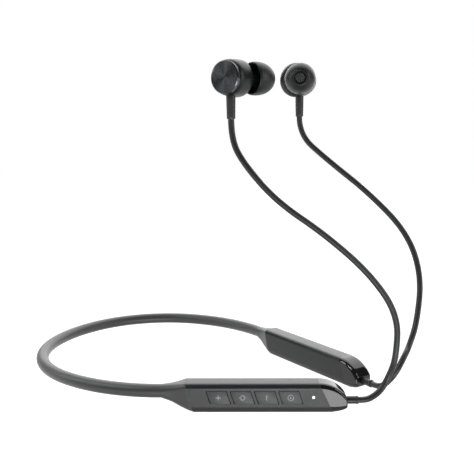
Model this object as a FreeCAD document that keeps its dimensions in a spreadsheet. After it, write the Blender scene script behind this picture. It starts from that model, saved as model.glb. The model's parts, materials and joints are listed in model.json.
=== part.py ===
import FreeCAD, Part

import math
import os

import Sketcher

# Neckband earphones, as worn: the band's centre line lies flat at height 0 and its back
# middle is the origin. +X points from the neck to the opening, +Y to the wearer's left and
# +Z up. The right pod holds the controls, the left pod the battery.
#
# Each pod and each earbud is drawn once, in a frame of its own, and placed by its Placement:
# a pod's x runs from its rear seam to its nose, an earbud's x runs inwards, into the ear.

Vector = FreeCAD.Vector
RIGHT = -1
LEFT = 1
SIDES = {"right": RIGHT, "left": LEFT}

# Driving sizes, in millimetres and degrees.
SIZES = {
    # Band
    "back_radius": 56.4,
    "back_turn": 15.4,
    "side_radius": 46.7,
    "side_turn": 61.4,
    "front_radius": 62.3,
    "front_turn": 40.6,
    "boot_length": 10.0,
    "sleeve_diameter": 5.0,
    "spring_wire_diameter": 1.2,
    "spring_wire_drop": -0.7,
    "link_cable_diameter": 1.3,
    "link_cable_drop": 0.9,
    "wire_grip": 3.0,
    # Pods
    "pod_length": 58.5,
    "pod_width": 8.4,
    "pod_top": 3.8,
    "pod_bottom": -7.7,
    "pod_wall": 0.9,
    "top_round": 1.7,
    "bottom_round": 3.4,
    "lid_parting": 1.9,
    "nose_length": 8.6,
    "rear_lean": 0.28,
    "nose_lean": 0.49,
    "nose_end_top": -1.8,
    "nose_end_bottom": -5.6,
    "nose_end_round": 1.6,
    "fit_gap": 0.05,
    # Cable exits
    "relief_height": -3.6,
    "relief_diameter": 2.8,
    "relief_length": 4.4,
    "relief_collar": 0.1,
    "cable_diameter": 2.3,
    # Buttons
    "button_start": 6.9,
    "button_width": 7.8,
    "button_pitch": 8.8,
    "button_rise": 4.9,
    "button_middle": -1.05,
    "button_lean": 0.32,
    "button_gap": 0.12,
    "button_proud": 0.15,
    "button_travel": 0.25,
    "flange_rim": 0.35,
    "flange_thickness": 0.35,
    "nib_length": 0.25,
    "nib_diameter": 1.6,
    "dome_thickness": 0.4,
    "dome_width": 3.4,
    # Board and what is on it
    "board_start": 4.2,
    "board_length": 42.0,
    "board_rise": 6.0,
    "board_thickness": 0.7,
    "board_middle": -1.5,
    "radio_length": 11.0,
    "radio_rise": 4.4,
    "radio_thickness": 1.3,
    "lamp_position": 45.9,
    "lamp_height": -1.0,
    "lamp_diameter": 1.0,
    "microphone_position": 40.5,
    "sound_hole_diameter": 1.0,
    "port_position": 13.0,
    "port_height": -1.6,
    "port_width": 8.94,
    "port_rise": 3.26,
    "port_depth": 4.0,
    "port_wall": 0.3,
    # Battery
    "cell_start": 4.2,
    "cell_length": 36.0,
    "cell_width": 4.8,
    "cell_rise": 5.2,
    "cell_lowest": -4.9,
    "cell_board_length": 3.0,
    # Earbuds
    "barrel_diameter": 13.6,
    "barrel_length": 6.9,
    "cap_diameter": 11.9,
    "cap_thickness": 1.5,
    "bud_wall": 0.8,
    "magnet_diameter": 6.0,
    "magnet_thickness": 1.5,
    "driver_diameter": 10.6,
    "driver_thickness": 3.2,
    "front_length": 3.4,
    "nozzle_bend": 22.0,
    "nozzle_base": 2.5,
    "nozzle_offset": 3.0,
    "nozzle_root": 1.8,
    "nozzle_length": 9.3,
    "nozzle_diameter": 4.5,
    "nozzle_bore": 3.7,
    "mesh_thickness": 0.3,
    "stem_back": 4.2,
    "stem_length": 8.9,
    "stem_top_diameter": 3.4,
    "stem_end_diameter": 3.1,
    "tip_start": 1.5,
    "tip_length": 9.0,
    "tip_diameter": 12.3,
    "tip_core_length": 4.0,
    "tip_core_wall": 0.7,
    "tip_skin": 0.7,
}

# Where each earbud is worn: the centre of its widest ring, the heading of its inward
# axis about the vertical and its tilt, in millimetres and degrees.
BUD_PLACES = {
    "right": ((98.8, -19.6, 114.0), 84.3, 1.5),
    "left": ((107.0, 16.4, 116.1), -90.2, -1.5),
}

# The free part of each cable's route, between its strain relief and its earbud.
CABLE_ROUTES = {
    "right": [
        (148.2, -6.5, -3.0),
        (151.1, -3.6, -0.6),
        (153.6, -1.6, 5.2),
        (156.2, -3.5, 13.0),
        (156.2, -2.5, 28.5),
        (146.7, -6.3, 43.4),
        (131.5, -13.3, 58.0),
        (115.0, -20.2, 70.0),
        (104.0, -24.4, 83.4),
    ],
    "left": [
        (148.3, 6.8, -2.9),
        (150.8, 5.2, -0.9),
        (154.5, 4.3, 4.2),
        (156.7, 8.0, 10.1),
        (157.0, 13.8, 12.3),
        (158.5, 19.6, 20.6),
        (158.2, 26.6, 38.0),
        (151.4, 29.6, 54.5),
        (136.0, 27.2, 70.2),
        (118.0, 22.9, 84.6),
    ],
}
CABLE_START_RUN = 2.5
CABLE_END_RUN = 7.4

BUTTONS = ["volume_up", "power", "volume_down", "play"]


class Size:
    """A size that can be worked with: its value now and the sheet expression for it."""

    def __init__(self, value, text):
        self.value = value
        self.text = text

    def combined(self, sign, other, value):
        return Size(value, "(" + self.text + sign + text_of(other) + ")")

    def __add__(self, other):
        return self.combined(" + ", other, self.value + value_of(other))

    def __sub__(self, other):
        return self.combined(" - ", other, self.value - value_of(other))

    def __mul__(self, other):
        return self.combined(" * ", other, self.value * value_of(other))

    def __truediv__(self, other):
        return self.combined(" / ", other, self.value / value_of(other))

    def __neg__(self):
        return Size(-self.value, "(-" + self.text + ")")


def value_of(size):
    return size.value if isinstance(size, Size) else float(size)


def text_of(size):
    return size.text if isinstance(size, Size) else repr(float(size))


doc = FreeCAD.newDocument("NeckbandEarphones")
sheet = doc.addObject("Spreadsheet::Sheet", "Sizes")
for row, (alias, number) in enumerate(SIZES.items(), start=1):
    sheet.set("A%d" % row, alias)
    sheet.set("B%d" % row, str(number))
    sheet.setAlias("B%d" % row, alias)
doc.recompute()

nodes = []


def size(alias):
    """The driving size of that name."""
    return Size(SIZES[alias], "Sizes." + alias)


def bind(thing, **properties):
    """Bind properties of a document object to sheet expressions."""
    for name, amount in properties.items():
        thing.setExpression(name, text_of(amount))
    return thing


def publish(thing, label, placement=None):
    """Give a finished sub-part its name and its place."""
    thing.Label = label
    if placement is not None:
        thing.Placement = placement * thing.Placement
    nodes.append(thing)
    return thing


# Places


def band_arcs():
    """The three bends of half the band: start, middle and end of each, and its end heading."""
    bends = []
    x, y, heading = 0.0, 0.0, 0.0
    for name in ("back", "side", "front"):
        radius = SIZES[name + "_radius"]
        turn = math.radians(SIZES[name + "_turn"])
        centre_x = x + radius * math.cos(heading)
        centre_y = y - radius * math.sin(heading)
        places = []
        for share in (0.0, 0.5, 1.0):
            angle = heading + share * turn
            place = (centre_x - radius * math.cos(angle), centre_y + radius * math.sin(angle))
            places.append(place)
        bends.append(places)
        x, y = places[-1]
        heading = heading + turn
    return bends, heading


BENDS, END_HEADING = band_arcs()
POD_AXIS = (math.sin(END_HEADING), math.cos(END_HEADING))
POD_START = (
    BENDS[-1][-1][0] + SIZES["boot_length"] * POD_AXIS[0],
    BENDS[-1][-1][1] + SIZES["boot_length"] * POD_AXIS[1],
)


def pod_placement(side):
    """The pod frame: its origin is on the band's line at the rear seam."""
    turn = FreeCAD.Rotation(Vector(0, 0, 1), side * math.degrees(math.atan2(POD_AXIS[1], POD_AXIS[0])))
    return FreeCAD.Placement(Vector(POD_START[0], side * POD_START[1], 0), turn)


def bud_placement(name):
    """The earbud frame: its origin is the centre of the widest ring."""
    centre, heading, tilt = BUD_PLACES[name]
    turn = FreeCAD.Rotation(Vector(0, 0, 1), heading) * FreeCAD.Rotation(Vector(0, 1, 0), -tilt)
    return FreeCAD.Placement(Vector(*centre), turn)


def nozzle_placement(name, side):
    """The nozzle frame: it starts inside the front housing and bends forwards."""
    return bud_placement(name) * nozzle_in_bud(side)


def nozzle_in_bud(side):
    """The nozzle's place in the earbud frame: offset forwards and bent outwards."""
    turn = FreeCAD.Rotation(Vector(0, 0, 1), side * SIZES["nozzle_bend"])
    return FreeCAD.Placement(Vector(SIZES["nozzle_base"], side * SIZES["nozzle_offset"], 0), turn)


# Sketches and bodies


def origin_plane(body, role):
    for feature in body.Origin.OriginFeatures:
        if feature.Role == role:
            return feature
    raise RuntimeError("no origin plane " + role)


def hold(sketch, kind, amount, *places):
    """Add a dimension to a sketch and bind it."""
    if value_of(amount) == 0.0:
        # A point at no distance lies on the axis.
        axis = -2 if kind == "DistanceX" else -1
        sketch.addConstraint(Sketcher.Constraint("PointOnObject", places[2], places[3], axis))
        return
    index = sketch.addConstraint(Sketcher.Constraint(kind, *places, value_of(amount)))
    sketch.setExpression("Constraints[%d]" % index, text_of(amount))


def new_sketch(body, role, offset):
    sketch = body.newObject("Sketcher::SketchObject", "Outline")
    sketch.AttachmentSupport = [(origin_plane(body, role), "")]
    sketch.MapMode = "FlatFace"
    if offset is not None:
        sketch.setExpression("AttachmentOffset.Base.z", text_of(offset))
    return sketch


def outline(body, role, corners, offset=None):
    """A closed outline of straight sides whose corners are all bound."""
    sketch = new_sketch(body, role, offset)
    places = [Vector(value_of(across), value_of(up), 0) for across, up in corners]
    count = len(places)
    for index in range(count):
        side = Part.LineSegment(places[index], places[(index + 1) % count])
        sketch.addGeometry(side, False)
    for index in range(count):
        sketch.addConstraint(Sketcher.Constraint("Coincident", index, 2, (index + 1) % count, 1))
    for index, (across, up) in enumerate(corners):
        hold(sketch, "DistanceX", across, -1, 1, index, 1)
        hold(sketch, "DistanceY", up, -1, 1, index, 1)
    return sketch


def padded(corners, depth, role="XZ_Plane", offset=None, midplane=True, rounded=()):
    """A body padded from an outline, with chosen long edges rounded."""
    body = doc.addObject("PartDesign::Body", "Body")
    sketch = outline(body, role, corners, offset)
    doc.recompute()
    pad = body.newObject("PartDesign::Pad", "Pad")
    pad.Profile = sketch
    pad.Midplane = midplane
    bind(pad, Length=depth)
    doc.recompute()
    solid = pad
    for radius, height in rounded:
        fillet = body.newObject("PartDesign::Fillet", "Round")
        fillet.Base = (solid, long_edges(solid.Shape, value_of(height)))
        bind(fillet, Radius=radius)
        doc.recompute()
        solid = fillet
    return body


def long_edges(shape, height):
    """The edges that run along x at the given height."""
    names = []
    for index, edge in enumerate(shape.Edges, start=1):
        place = edge.BoundBox
        level = abs(place.ZMin - height) < 1e-6 and abs(place.ZMax - height) < 1e-6
        if level and place.XLength > place.YLength:
            names.append("Edge%d" % index)
    return names


def turned(corners):
    """A body turned about its x axis from an outline of (along, radius) corners."""
    body = doc.addObject("PartDesign::Body", "Body")
    sketch = outline(body, "XZ_Plane", corners)
    doc.recompute()
    turn = body.newObject("PartDesign::Revolution", "Turn")
    turn.Profile = sketch
    turn.ReferenceAxis = (origin_plane(body, "X_Axis"), [""])
    turn.Angle = 360
    doc.recompute()
    return body


def box(start, span, label=None, placement=None):
    """A box bound by its lowest corner and its three sides."""
    block = doc.addObject("Part::Box", "Box")
    bind(block, Length=span[0], Width=span[1], Height=span[2])
    corner = Vector(*[value_of(amount) for amount in start])
    block.Placement = FreeCAD.Placement(corner, FreeCAD.Rotation())
    if label is None:
        return block
    return publish(block, label, placement)


def cylinder(start, direction, diameter, length):
    """A cylinder bound by its diameter and length, from a start point along a direction."""
    rod = doc.addObject("Part::Cylinder", "Rod")
    bind(rod, Radius=diameter / 2, Height=length)
    corner = Vector(*[value_of(amount) for amount in start])
    turn = FreeCAD.Rotation(Vector(0, 0, 1), Vector(*direction))
    rod.Placement = FreeCAD.Placement(corner, turn)
    return rod


def cut(base, tool):
    difference = doc.addObject("Part::Cut", "Cut")
    difference.Base = base
    difference.Tool = tool
    return difference


def common(first, second):
    shared = doc.addObject("Part::Common", "Common")
    shared.Base = first
    shared.Tool = second
    return shared


def fused(*pieces):
    union = doc.addObject("Part::MultiFuse", "Union")
    union.Shapes = list(pieces)
    union.Refine = True
    return union


def shaped(shape, label, placement):
    """A sub-part whose shape comes straight from Part's own functions."""
    feature = doc.addObject("Part::Feature", "Shaped")
    feature.Shape = shape
    return publish(feature, label, placement)


# Tubes


def swept(path, diameter, start, direction):
    ring = Part.Wire([Part.Circle(start, direction, diameter / 2).toShape()])
    return path.makePipeShell([ring], True, False)


def band_path(lift, beyond):
    """The band's line from the left seam round to the right seam, in one plane."""
    edges = []
    for side, order in ((LEFT, -1), (RIGHT, 1)):
        half = []
        for first, middle, last in BENDS:
            ends = [Vector(x, side * y, lift) for x, y in (first, middle, last)]
            half.append(Part.Arc(*ends[::order]).toShape())
        reach = SIZES["boot_length"] + beyond
        corner = Vector(BENDS[-1][-1][0], side * BENDS[-1][-1][1], lift)
        seam = corner + Vector(POD_AXIS[0], side * POD_AXIS[1], 0) * reach
        ends = [corner, seam]
        half.append(Part.LineSegment(*ends[::order]).toShape())
        edges.extend(half[::order])
    return Part.Wire(edges)


def band_tube(diameter, lift, beyond):
    """A round tube along the band's line, raised by lift and longer at each end."""
    path = band_path(lift, beyond)
    start = path.Edges[0].valueAt(path.Edges[0].FirstParameter)
    direction = path.Edges[0].tangentAt(path.Edges[0].FirstParameter)
    return swept(path, diameter, start, direction)


def rounded_section(along, half_width, top, bottom, top_radius, bottom_radius):
    """A rectangle with round corners across the x axis: always eight edges."""
    corners = [(1, top), (-1, top), (-1, bottom), (1, bottom)]
    edges = []
    tangents = []
    for index, (sign, high) in enumerate(corners):
        up = 1 if high == top else -1
        radius = top_radius if high == top else bottom_radius
        centre = Vector(along, sign * (half_width - radius), high - up * radius)
        across = Vector(0, sign, 0) * radius
        upward = Vector(0, 0, up) * radius
        ends = [centre + across, centre + upward]
        if index % 2:
            ends.reverse()
        middle = centre + (across + upward) * math.sqrt(0.5)
        edges.append(Part.Arc(ends[0], middle, ends[1]).toShape())
        tangents.append(ends)
    sides = []
    for index in range(4):
        first = tangents[index][1]
        second = tangents[(index + 1) % 4][0]
        sides.append(edges[index])
        sides.append(Part.LineSegment(first, second).toShape())
    return Part.Wire(sides)


def lofted(sections, inset=0.0):
    """A smooth solid through sections of along, half width, top, bottom and two radii."""
    wires = []
    for along, half_width, top, bottom, *radii in sections:
        corners = [max(radius - inset, 0.2) for radius in radii]
        wires.append(rounded_section(along, half_width - inset, top - inset, bottom + inset, *corners))
    return Part.makeLoft(wires, True, False)


def cable_tube(route):
    """Straight runs joined by tangent arcs, each as large as its two runs allow."""
    points = [Vector(*point) for point in route]
    edges = []
    radii = []
    here = points[0]
    for before, corner, after in zip(points, points[1:], points[2:]):
        arriving = (corner - before).normalize()
        leaving = (after - corner).normalize()
        shorter = min((corner - before).Length, (after - corner).Length)
        half_turn = arriving.getAngle(leaving) / 2
        reach = 0.45 * shorter
        radius = reach / math.tan(half_turn)
        radii.append(radius)
        first = corner - arriving * reach
        last = corner + leaving * reach
        inward = (leaving - arriving).normalize()
        middle = corner + inward * (radius / math.cos(half_turn) - radius)
        edges.append(Part.LineSegment(here, first).toShape())
        edges.append(Part.Arc(first, middle, last).toShape())
        here = last
    edges.append(Part.LineSegment(here, points[-1]).toShape())
    path = Part.Wire(edges)
    tube = swept(path, SIZES["cable_diameter"], points[0], points[1] - points[0])
    expected = math.pi * (SIZES["cable_diameter"] / 2) ** 2 * path.Length
    print("  radii", [round(radius, 1) for radius in radii])
    print("  length", round(path.Length, 1), "volume", round(tube.Volume, 1), "of", round(expected, 1))
    return tube


# Pods

pod_half_width = size("pod_width") / 2
nose_seam = size("pod_length") - size("nose_length")


def leaning(position, height, lean):
    """Where a leaning seam is at a height: it runs forwards as it goes down."""
    return position - height * lean


def seam_prism(rear, front, low, high, rear_lean, front_lean):
    """The four corners of a side view between two leaning seams."""
    return [
        (leaning(rear, low, rear_lean), low),
        (leaning(front, low, front_lean), low),
        (leaning(front, high, front_lean), high),
        (leaning(rear, high, rear_lean), high),
    ]


def pod_form(inset, rear_inset, front_inset):
    """The pod's middle length with round edges, or the same form inset by a wall."""
    low = size("pod_bottom") + inset
    high = size("pod_top") - inset
    leans = (size("rear_lean"), size("nose_lean"))
    corners = seam_prism(rear_inset, nose_seam - front_inset, low, high, *leans)
    depth = size("pod_width") - inset * 2
    rounded = [(size("bottom_round") - inset, low)]
    if value_of(inset) == 0.0:
        rounded.append((size("top_round"), high))
    return padded(corners, depth, rounded=rounded)


def pod_layer(low, high):
    """A block that holds one layer of the pod, between two heights."""
    margin = size("pod_width")
    start = (-margin, -margin, low)
    return box(start, (size("pod_length") + margin * 2, margin * 2, high - low))


def button_outline(index, grow):
    """The leaning outline of one button, grown or shrunk all round."""
    start = size("button_start") + size("button_pitch") * index
    low = size("button_middle") - size("button_rise") / 2 - grow
    high = size("button_middle") + size("button_rise") / 2 + grow
    lean = size("button_lean")
    return seam_prism(start - grow, start + size("button_width") + grow, low, high, lean, lean)


def slot(position, width, rise, start, depth):
    """A long slot with round ends, standing across the pod."""
    flat = width - rise
    height = size("port_height")
    return fused(
        box((position - flat / 2, start, height - rise / 2), (flat, depth, rise)),
        cylinder((position - flat / 2, start, height), (0, 1, 0), rise, depth),
        cylinder((position + flat / 2, start, height), (0, 1, 0), rise, depth),
    )


def pod_shells(name, side):
    """The lower housing, the lid and the nose of one pod, in the pod frame."""
    wall = size("pod_wall")
    place = pod_placement(side)
    below = size("pod_bottom") - wall
    above = size("pod_top") + wall
    parting = size("lid_parting")
    cavity = pod_form(wall, wall, wall * 0)
    housing = common(pod_form(wall * 0, wall * 0, wall * 0), pod_layer(below, parting))
    housing = cut(housing, cavity)
    for tool in housing_cuts(side):
        housing = cut(housing, tool)
    publish(housing, name + "_housing", place)
    lid = common(pod_form(wall * 0, wall * 0, wall * 0), pod_layer(parting, above))
    publish(cut(lid, pod_form(wall, wall, wall * 0)), name + "_lid", place)
    shaped(nose_shape(), name + "_nose", place)
    relief_axis = FreeCAD.Placement(Vector(0, 0, SIZES["relief_height"]), FreeCAD.Rotation())
    publish(turned(relief_corners()), name + "_cable_relief", place * relief_axis)


def housing_cuts(side):
    """The two wire holes, and the right housing's buttons, lamp, microphone and port."""
    wall = size("pod_wall")
    gap = size("fit_gap")
    tools = []
    for wire in ("spring_wire", "link_cable"):
        start = (-wall, wall * 0, size(wire + "_drop"))
        tools.append(cylinder(start, (1, 0, 0), size(wire + "_diameter") + gap * 2, wall * 4))
    if side == LEFT:
        return tools
    inner_face = pod_half_width - wall
    for index in range(len(BUTTONS)):
        window = button_outline(index, wall * 0)
        tools.append(padded(window, wall * 2, offset=inner_face - wall / 2, midplane=False))
    lamp_start = (size("lamp_position"), -inner_face, size("lamp_height"))
    tools.append(cylinder(lamp_start, (0, -1, 0), size("lamp_diameter") + gap * 2, wall * 2))
    sound_start = (size("microphone_position"), wall * 0, size("pod_bottom") - wall)
    tools.append(cylinder(sound_start, (0, 0, 1), size("sound_hole_diameter"), wall * 3))
    port = (size("port_width") + gap * 2, size("port_rise") + gap * 2)
    tools.append(slot(size("port_position"), *port, inner_face - wall, wall * 3))
    return tools


def nose_sections():
    """Sections of the nose, from behind its seam to its blunt end: its sides stay flat."""
    half = SIZES["pod_width"] / 2
    top = SIZES["pod_top"]
    bottom = SIZES["pod_bottom"]
    end = SIZES["pod_length"]
    reach = SIZES["nose_length"]
    top_drop = top - SIZES["nose_end_top"]
    bottom_rise = SIZES["nose_end_bottom"] - bottom
    sections = []
    for behind in (1.8, 1.5, 1.2):
        sections.append((end - behind * reach, half, top, bottom, SIZES["top_round"], SIZES["bottom_round"]))
    for ahead in (0.15, 0.3, 0.45, 0.6, 0.75, 0.88, 1.0):
        fall = 1 - math.sqrt(1 - 0.80 * ahead ** 2)
        lower = max(0.0, (ahead - 0.3) / 0.7)
        climb = 1 - math.sqrt(1 - 0.75 * lower ** 2)
        sections.append((
            end - (1.2 - 1.2 * ahead) * reach,
            half,
            top - top_drop * fall / (1 - math.sqrt(0.20)),
            bottom + bottom_rise * climb / (1 - math.sqrt(0.25)),
            SIZES["top_round"] + (SIZES["nose_end_round"] - SIZES["top_round"]) * ahead ** 2,
            SIZES["bottom_round"] + (SIZES["nose_end_round"] * 1.2 - SIZES["bottom_round"]) * lower ** 2,
        ))
    return sections


def pod_prism(seam, lean, far_end):
    """The pod's full width and height between a leaning seam and a far end."""
    width = SIZES["pod_width"]
    low = SIZES["pod_bottom"]
    high = SIZES["pod_top"]
    corners = [(far_end, low), (seam - low * lean, low), (seam - high * lean, high), (far_end, high)]
    points = [Vector(x, -width / 2, z) for x, z in corners]
    face = Part.Face(Part.makePolygon(points + points[:1]))
    return face.extrude(Vector(0, width, 0))


def relief_hole():
    """The hole in the nose for the relief."""
    gap = SIZES["fit_gap"]
    height = SIZES["relief_height"]
    radius = SIZES["relief_diameter"] / 2 + gap
    start = Vector(SIZES["pod_length"] - SIZES["nose_length"], 0, height)
    return Part.makeCylinder(radius, 2 * SIZES["nose_length"], start, Vector(1, 0, 0))


def nose_shape():
    """The glossy nose: a hollow end cap in front of a leaning seam."""
    sections = nose_sections()
    outer = lofted(sections)
    rim = [edge for edge in outer.Edges if edge.BoundBox.XMin > SIZES["pod_length"] - 0.01]
    outer = outer.makeFillet(SIZES["nose_end_round"] * 0.4, rim)
    hollow = lofted(sections[:8], SIZES["pod_wall"])
    ahead = pod_prism(nose_seam.value, SIZES["nose_lean"], 2 * SIZES["pod_length"])
    return outer.common(ahead).cut(hollow).cut(relief_hole()).removeSplitter()


def relief_corners():
    """The half outline of the relief in the nose: a sleeve with a collar at its end."""
    radius = size("relief_diameter") / 2
    collar = radius + size("relief_collar")
    start = size("pod_length") - size("nose_length") * 0.2
    tip = size("pod_length") + size("relief_length")
    zero = Size(0.0, "0")
    return [
        (start, zero),
        (tip, zero),
        (tip, collar),
        (tip - size("relief_collar") * 4, collar),
        (tip - size("relief_collar") * 6, radius),
        (start, radius),
    ]


# Band


# Each step of the boot's flare: how far behind the seam as a share of its length, how much
# of the pod's width, top and bottom it has reached, and its top and bottom edge radii.
BOOT_FLARE = [
    (0.62, 0.2, 0.34, 0.34, 2.2, 2.4),
    (0.3, 0.55, 0.66, 0.74, 1.9, 2.8),
]


def boot_sections():
    """Sections of the sleeve's flared boot, from the round tube to behind the rear seam."""
    radius = SIZES["sleeve_diameter"] / 2
    half = SIZES["pod_width"] / 2
    top = SIZES["pod_top"]
    bottom = SIZES["pod_bottom"]
    reach = SIZES["boot_length"]
    rounds = (SIZES["top_round"], SIZES["bottom_round"])
    near_round = 0.98 * radius
    flare = []
    for along, wider, higher, lower, *radii in BOOT_FLARE:
        flare.append((
            -along * reach,
            radius + wider * (half - radius),
            radius + higher * (top - radius),
            -radius + lower * (bottom + radius),
            *radii,
        ))
    return [
        (-reach, radius, radius, -radius, near_round, near_round),
        *flare,
        (0.05 * reach, half, top, bottom, *rounds),
        (0.35 * reach, half, top, bottom, *rounds),
    ]


def build_band():
    """The silicone sleeve with its boots, the spring wire and the link cable in it."""
    gap = SIZES["fit_gap"]
    spring = (SIZES["spring_wire_diameter"], SIZES["spring_wire_drop"])
    link = (SIZES["link_cable_diameter"], SIZES["link_cable_drop"])
    sleeve = band_tube(SIZES["sleeve_diameter"], 0.0, -0.5 * SIZES["boot_length"])
    for side in (LEFT, RIGHT):
        boot = lofted(boot_sections()).common(pod_prism(0.0, SIZES["rear_lean"], -3 * SIZES["boot_length"]))
        boot.Placement = pod_placement(side)
        sleeve = sleeve.fuse(boot)
    grip = SIZES["wire_grip"]
    for diameter, lift in (spring, link):
        sleeve = sleeve.cut(band_tube(diameter + 2 * gap, lift, grip))
    shaped(sleeve.removeSplitter(), "band_sleeve", FreeCAD.Placement())
    for label, (diameter, lift) in (("spring_wire", spring), ("link_cable", link)):
        shaped(band_tube(diameter, lift, grip), label, FreeCAD.Placement())


# Right pod: controls

board_outer_face = pod_half_width - size("pod_wall") - size("fit_gap") - size("flange_thickness") \
    - size("nib_length") - size("button_travel") - size("fit_gap") - size("dome_thickness")


def build_controls():
    """The board, its parts and the four buttons of the right pod."""
    place = pod_placement(RIGHT)
    gap = size("fit_gap")
    rise = size("board_rise")
    thick = size("board_thickness")
    low = size("board_middle") - rise / 2
    board_start = (size("board_start"), -board_outer_face, low)
    box(board_start, (size("board_length"), thick, rise), "control_board", place)
    radio_x = size("board_start") + size("board_length") * 0.5
    radio_start = (radio_x, -board_outer_face + thick, size("board_middle") - size("radio_rise") / 2)
    radio_span = (size("radio_length"), size("radio_thickness"), size("radio_rise"))
    box(radio_start, radio_span, "radio_module", place)
    lamp = size("lamp_diameter")
    lamp_x = size("lamp_position")
    lamp_z = size("lamp_height")
    dome = size("dome_thickness")
    lamp_start = (lamp_x - lamp / 2, -board_outer_face - dome, lamp_z - lamp / 2)
    box(lamp_start, (lamp, dome, lamp), "status_lamp", place)
    pipe_start = (lamp_x, -board_outer_face - dome - gap, lamp_z)
    pipe_length = pod_half_width - board_outer_face - dome - gap
    publish(cylinder(pipe_start, (0, -1, 0), lamp, pipe_length), "lamp_window", place)
    microphone_start = (size("microphone_position") - 1.5, -board_outer_face + thick, low)
    microphone_span = (size("sound_hole_diameter") * 3, size("radio_thickness"), 2)
    box(microphone_start, microphone_span, "microphone", place)
    build_port(place)
    for index, name in enumerate(BUTTONS):
        build_button(index, name, place)


def build_port(place):
    """The charging receptacle: a slotted metal shell with its tongue on a back wall."""
    wall = size("port_wall")
    depth = size("port_depth")
    start = pod_half_width - depth
    width = size("port_width")
    rise = size("port_rise")
    shell = slot(size("port_position"), width, rise, start, depth)
    inner = slot(size("port_position"), width - wall * 2, rise - wall * 2, start + wall * 2, depth)
    tongue_start = (size("port_position") - width * 0.36, start, size("port_height") - wall)
    tongue = box(tongue_start, (width * 0.72, depth * 0.8, wall * 2))
    publish(fused(cut(shell, inner), tongue), "charging_port", place)


def build_button(index, name, place):
    """One button with its flange and nib, and the dome switch behind it."""
    wall = size("pod_wall")
    gap = size("button_gap")
    inner_face = pod_half_width - wall
    flange_face = inner_face - size("fit_gap")
    flange_back = flange_face - size("flange_thickness")
    cap = padded(button_outline(index, -gap), wall + size("button_proud") + size("fit_gap"),
                 offset=flange_face, midplane=False)
    flange = padded(button_outline(index, size("flange_rim")), size("flange_thickness"),
                    offset=flange_back, midplane=False)
    middle = leaning(size("button_start") + size("button_pitch") * index + size("button_width") / 2,
                     size("button_middle"), size("button_lean"))
    nib_start = (middle, -flange_back, size("button_middle"))
    nib = cylinder(nib_start, (0, 1, 0), size("nib_diameter"), size("nib_length"))
    publish(fused(cap, flange, nib), name + "_button", place)
    across = size("dome_width")
    dome = size("dome_thickness")
    dome_start = (middle - across / 2, -board_outer_face - dome, size("button_middle") - across / 2)
    box(dome_start, (across, dome, across), name + "_switch", place)


# Left pod: power


def build_power():
    """The battery cell and its protection board in the left pod."""
    place = pod_placement(LEFT)
    wide = size("cell_width")
    start = (size("cell_start"), -wide / 2, size("cell_lowest"))
    box(start, (size("cell_length"), wide, size("cell_rise")), "battery_cell", place)
    board_start = (size("cell_start") + size("cell_length"), -wide / 2, size("cell_lowest"))
    box(board_start, (size("cell_board_length"), wide, size("cell_rise")), "charge_board", place)
    pad_start = (size("cell_start"), -wide / 2, size("cell_lowest") + size("cell_rise"))
    pad_rise = size("lid_parting") - size("cell_lowest") - size("cell_rise")
    box(pad_start, (size("cell_length"), wide, pad_rise), "battery_pad", place)


def build_clamp(name, side):
    """The crimp block that holds the end of the spring wire just inside the rear wall."""
    place = pod_placement(side)
    reach = size("wire_grip")
    across = size("spring_wire_diameter") * 1.5
    drop = size("spring_wire_drop")
    behind = leaning(size("pod_wall"), drop - across / 2, size("rear_lean")) + size("fit_gap")
    block = box((behind, -across / 2, drop - across / 2), (reach - behind, across, across))
    bore_start = (size("pod_wall") * 0, size("pod_wall") * 0, drop)
    bore = cylinder(bore_start, (1, 0, 0), size("spring_wire_diameter") + size("fit_gap") * 2, reach * 2)
    publish(cut(block, bore), name + "_wire_clamp", place)


# Earbuds


def build_bud(name, side):
    """One earbud: cap, magnet, barrel, driver, front with nozzle, mesh, stem and ear tip."""
    place = bud_placement(name)
    zero = Size(0.0, "0")
    gap = size("fit_gap")
    wall = size("bud_wall")
    barrel = size("barrel_diameter") / 2
    cap = size("cap_diameter") / 2
    back = -size("barrel_length")
    cap_back = back - size("cap_thickness")
    rim = wall * 0.4
    publish(turned([
        (cap_back, zero),
        (back + wall, zero),
        (back + wall, cap - wall - gap),
        (back, cap - wall - gap),
        (back, cap),
        (cap_back + rim, cap),
        (cap_back, cap - rim),
    ]), name + "_cap", place)
    magnet_back = back + wall + gap
    magnet = size("magnet_diameter") / 2
    magnet_front = magnet_back + size("magnet_thickness")
    publish(turned([
        (magnet_back, zero),
        (magnet_front, zero),
        (magnet_front, magnet),
        (magnet_back, magnet),
    ]), name + "_magnet", place)
    barrel_body = turned([
        (back, cap - wall),
        (zero, barrel - wall),
        (zero, barrel),
        (back * 0.45, barrel - wall * 0.2),
        (back, cap + gap),
    ])
    stem_hole = cylinder((-size("stem_back"), zero, zero), (0, 0, -1),
                         size("stem_top_diameter") + gap * 2, barrel * 2)
    publish(cut(barrel_body, stem_hole), name + "_barrel", place)
    driver = size("driver_diameter") / 2
    driver_back = -size("driver_thickness")
    publish(turned([
        (driver_back, zero),
        (zero, zero),
        (zero, driver),
        (driver_back, driver),
    ]), name + "_driver", place)
    build_front(name, side, place)
    build_stem(name, place)
    build_tip(name, side)


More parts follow.
